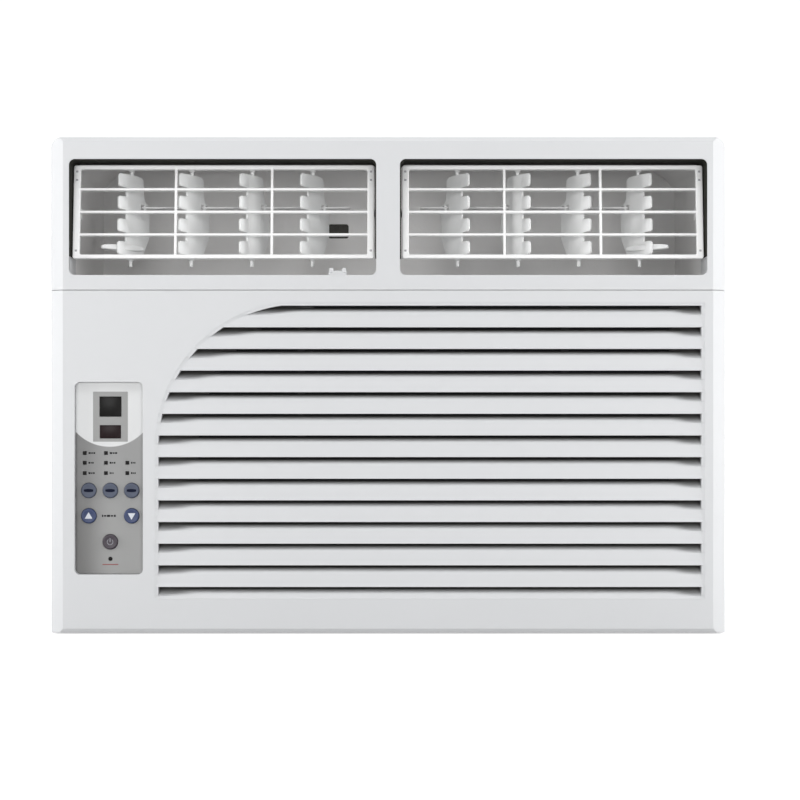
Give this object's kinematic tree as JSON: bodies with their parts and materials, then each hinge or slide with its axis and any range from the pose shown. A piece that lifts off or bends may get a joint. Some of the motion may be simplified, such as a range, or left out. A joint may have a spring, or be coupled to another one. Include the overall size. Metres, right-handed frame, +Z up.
{
  "type": "window air conditioner",
  "caption": "Boxy through-window air conditioner with two louvred outlets above a hinged slotted intake door with a key panel at its left, and a finned coil behind.",
  "frame": {"origin": "on the ground under the middle of the whole unit", "axes": "+Z up, -Y towards the room (front), +X to the viewer's right when facing the front"},
  "size_m": [0.47, 0.4, 0.346],
  "materials": {
    "front_plastic": "satin moulded ABS, off white",
    "louver_plastic": "smooth white plastic",
    "panel_plastic": "silver grey satin plastic",
    "dark_lens": "smoked glossy lens",
    "lamp_lens": "small dark lenses",
    "button_plastic": "blue grey plastic",
    "filter_plastic": "black polypropylene",
    "filter_net": "fine woven nylon net",
    "board": "green circuit board",
    "galvanised": "galvanised sheet steel",
    "capacitor_can": "drawn aluminium can",
    "transformer_core": "laminated core with wound coil",
    "fin_aluminium": "thin aluminium fins",
    "copper": "bare copper tube",
    "foam": "grey moulded foam and plastic",
    "black_plastic": "black filled plastic",
    "motor_steel": "painted motor shell",
    "bright_steel": "bright zinc plated steel",
    "black_paint": "black enamelled steel",
    "rubber": "black rubber",
    "cabinet_paint": "powder coated sheet steel, light grey"
  },
  "bodies": {
    "chassis": {"front_fascia": "front_plastic", "control_panel": "panel_plastic", "display_lens": "dark_lens", "ir_window": "dark_lens", "indicator_lenses": "lamp_lens", "control_board": "board", "control_box": "galvanised", "evaporator_end_plates": "galvanised", "condenser_end_plates": "galvanised", "motor_bracket": "galvanised", "bulkhead": "galvanised", "fan_shroud": "galvanised", "base_pan": "galvanised", "capacitor": "capacitor_can", "transformer": "transformer_core", "evaporator_fins": "fin_aluminium", "condenser_fins": "fin_aluminium", "evaporator_tubes": "copper", "condenser_tubes": "copper", "discharge_pipe": "copper", "suction_pipe": "copper", "capillary_tube": "copper", "drain_tray": "foam", "air_plenum": "foam", "scroll_housing": "black_plastic", "terminal_cover": "black_plastic", "fan_motor": "motor_steel", "cabinet_screws": "bright_steel", "compressor_nuts": "bright_steel", "compressor": "black_paint", "accumulator": "black_paint", "compressor_grommets": "rubber", "cord_gland": "rubber", "cabinet_wrap": "cabinet_paint"},
    "door": {"intake_door": "front_plastic", "filter_frame": "filter_plastic", "filter_mesh": "filter_net"},
    "fan_rotor": {"fan_shaft": "bright_steel", "blower_wheel": "black_plastic", "condenser_fan": "black_plastic"},
    "left_louver": {"left_louver_frame": "louver_plastic"},
    "left_vane_1_body": {"left_vane_1": "louver_plastic"},
    "left_vane_2_body": {"left_vane_2": "louver_plastic"},
    "left_vane_3_body": {"left_vane_3": "louver_plastic"},
    "left_vane_4_body": {"left_vane_4": "louver_plastic"},
    "left_link": {"left_link_rod": "louver_plastic"},
    "right_louver": {"right_louver_frame": "louver_plastic"},
    "right_vane_1_body": {"right_vane_1": "louver_plastic"},
    "right_vane_2_body": {"right_vane_2": "louver_plastic"},
    "right_vane_3_body": {"right_vane_3": "louver_plastic"},
    "right_vane_4_body": {"right_vane_4": "louver_plastic"},
    "right_link": {"right_link_rod": "louver_plastic"},
    "mode_key": {"mode_button": "button_plastic"},
    "fan_key": {"fan_button": "button_plastic"},
    "timer_key": {"timer_button": "button_plastic"},
    "up_key": {"up_button": "button_plastic"},
    "down_key": {"down_button": "button_plastic"},
    "power_key": {"power_button": "button_plastic"}
  },
  "joints": [
    {"name": "door_hinge", "type": "hinge", "parent": "chassis", "child": "door", "pos_m": [0, -0.192, 0.0086], "axis": [1, 0, 0], "range_deg": [0, 60]},
    {"name": "fan_spin", "type": "hinge", "parent": "chassis", "child": "fan_rotor", "pos_m": [0.05, 0.02, 0.13], "axis": [0, 1, 0], "continuous": true},
    {"name": "left_louver_tilt", "type": "hinge", "parent": "chassis", "child": "left_louver", "pos_m": [-0.1151, -0.183, 0.294], "axis": [1, 0, 0], "range_deg": [-19, 31]},
    {"name": "left_vane_1_swing", "type": "hinge", "parent": "left_louver", "child": "left_vane_1_body", "pos_m": [-0.18145, -0.17902, 0.29358], "axis": [0, 0.1045, 0.9945], "range_deg": [-4, 80]},
    {"name": "left_vane_2_swing", "type": "hinge", "parent": "left_louver", "child": "left_vane_2_body", "pos_m": [-0.13875, -0.17902, 0.29358], "axis": [0, 0.1045, 0.9945], "range_deg": [-4, 80]},
    {"name": "left_vane_3_swing", "type": "hinge", "parent": "left_louver", "child": "left_vane_3_body", "pos_m": [-0.09605, -0.17902, 0.29358], "axis": [0, 0.1045, 0.9945], "range_deg": [-4, 80]},
    {"name": "left_vane_4_swing", "type": "hinge", "parent": "left_louver", "child": "left_vane_4_body", "pos_m": [-0.05335, -0.17902, 0.29358], "axis": [0, 0.1045, 0.9945], "range_deg": [-4, 80]},
    {"name": "left_link_turn", "type": "hinge", "parent": "left_vane_1_body", "child": "left_link", "pos_m": [-0.17345, -0.1681, 0.29947], "axis": [0, 0.1045, 0.9945], "range_deg": [-80, 4]},
    {"name": "right_louver_tilt", "type": "hinge", "parent": "chassis", "child": "right_louver", "pos_m": [0.1151, -0.183, 0.294], "axis": [1, 0, 0], "range_deg": [-19, 31]},
    {"name": "right_vane_1_swing", "type": "hinge", "parent": "right_louver", "child": "right_vane_1_body", "pos_m": [0.04875, -0.17902, 0.29358], "axis": [0, 0.1045, 0.9945], "range_deg": [-80, 4]},
    {"name": "right_vane_2_swing", "type": "hinge", "parent": "right_louver", "child": "right_vane_2_body", "pos_m": [0.09145, -0.17902, 0.29358], "axis": [0, 0.1045, 0.9945], "range_deg": [-80, 4]},
    {"name": "right_vane_3_swing", "type": "hinge", "parent": "right_louver", "child": "right_vane_3_body", "pos_m": [0.13415, -0.17902, 0.29358], "axis": [0, 0.1045, 0.9945], "range_deg": [-80, 4]},
    {"name": "right_vane_4_swing", "type": "hinge", "parent": "right_louver", "child": "right_vane_4_body", "pos_m": [0.17685, -0.17902, 0.29358], "axis": [0, 0.1045, 0.9945], "range_deg": [-80, 4]},
    {"name": "right_link_turn", "type": "hinge", "parent": "right_vane_4_body", "child": "right_link", "pos_m": [0.16885, -0.1681, 0.29947], "axis": [0, 0.1045, 0.9945], "range_deg": [-4, 80]},
    {"name": "mode_press", "type": "slide", "parent": "chassis", "child": "mode_key", "axis": [0, 1, 0], "range_m": [0, 0.001], "stiffness_N_per_m": 400, "springref_m": -0.0005},
    {"name": "fan_press", "type": "slide", "parent": "chassis", "child": "fan_key", "axis": [0, 1, 0], "range_m": [0, 0.001], "stiffness_N_per_m": 400, "springref_m": -0.0005},
    {"name": "timer_press", "type": "slide", "parent": "chassis", "child": "timer_key", "axis": [0, 1, 0], "range_m": [0, 0.001], "stiffness_N_per_m": 400, "springref_m": -0.0005},
    {"name": "up_press", "type": "slide", "parent": "chassis", "child": "up_key", "axis": [0, 1, 0], "range_m": [0, 0.001], "stiffness_N_per_m": 400, "springref_m": -0.0005},
    {"name": "down_press", "type": "slide", "parent": "chassis", "child": "down_key", "axis": [0, 1, 0], "range_m": [0, 0.001], "stiffness_N_per_m": 400, "springref_m": -0.0005},
    {"name": "power_press", "type": "slide", "parent": "chassis", "child": "power_key", "axis": [0, 1, 0], "range_m": [0, 0.001], "stiffness_N_per_m": 400, "springref_m": -0.0005}
  ],
  "couplings": [
    {"joint": "left_vane_2_swing", "follows": "left_vane_1_swing", "ratio": 1},
    {"joint": "left_vane_3_swing", "follows": "left_vane_1_swing", "ratio": 1},
    {"joint": "left_vane_4_swing", "follows": "left_vane_1_swing", "ratio": 1},
    {"joint": "left_link_turn", "follows": "left_vane_1_swing", "ratio": -1},
    {"joint": "right_vane_1_swing", "follows": "right_vane_4_swing", "ratio": 1},
    {"joint": "right_vane_2_swing", "follows": "right_vane_4_swing", "ratio": 1},
    {"joint": "right_vane_3_swing", "follows": "right_vane_4_swing", "ratio": 1},
    {"joint": "right_link_turn", "follows": "right_vane_4_swing", "ratio": -1}
  ]
}
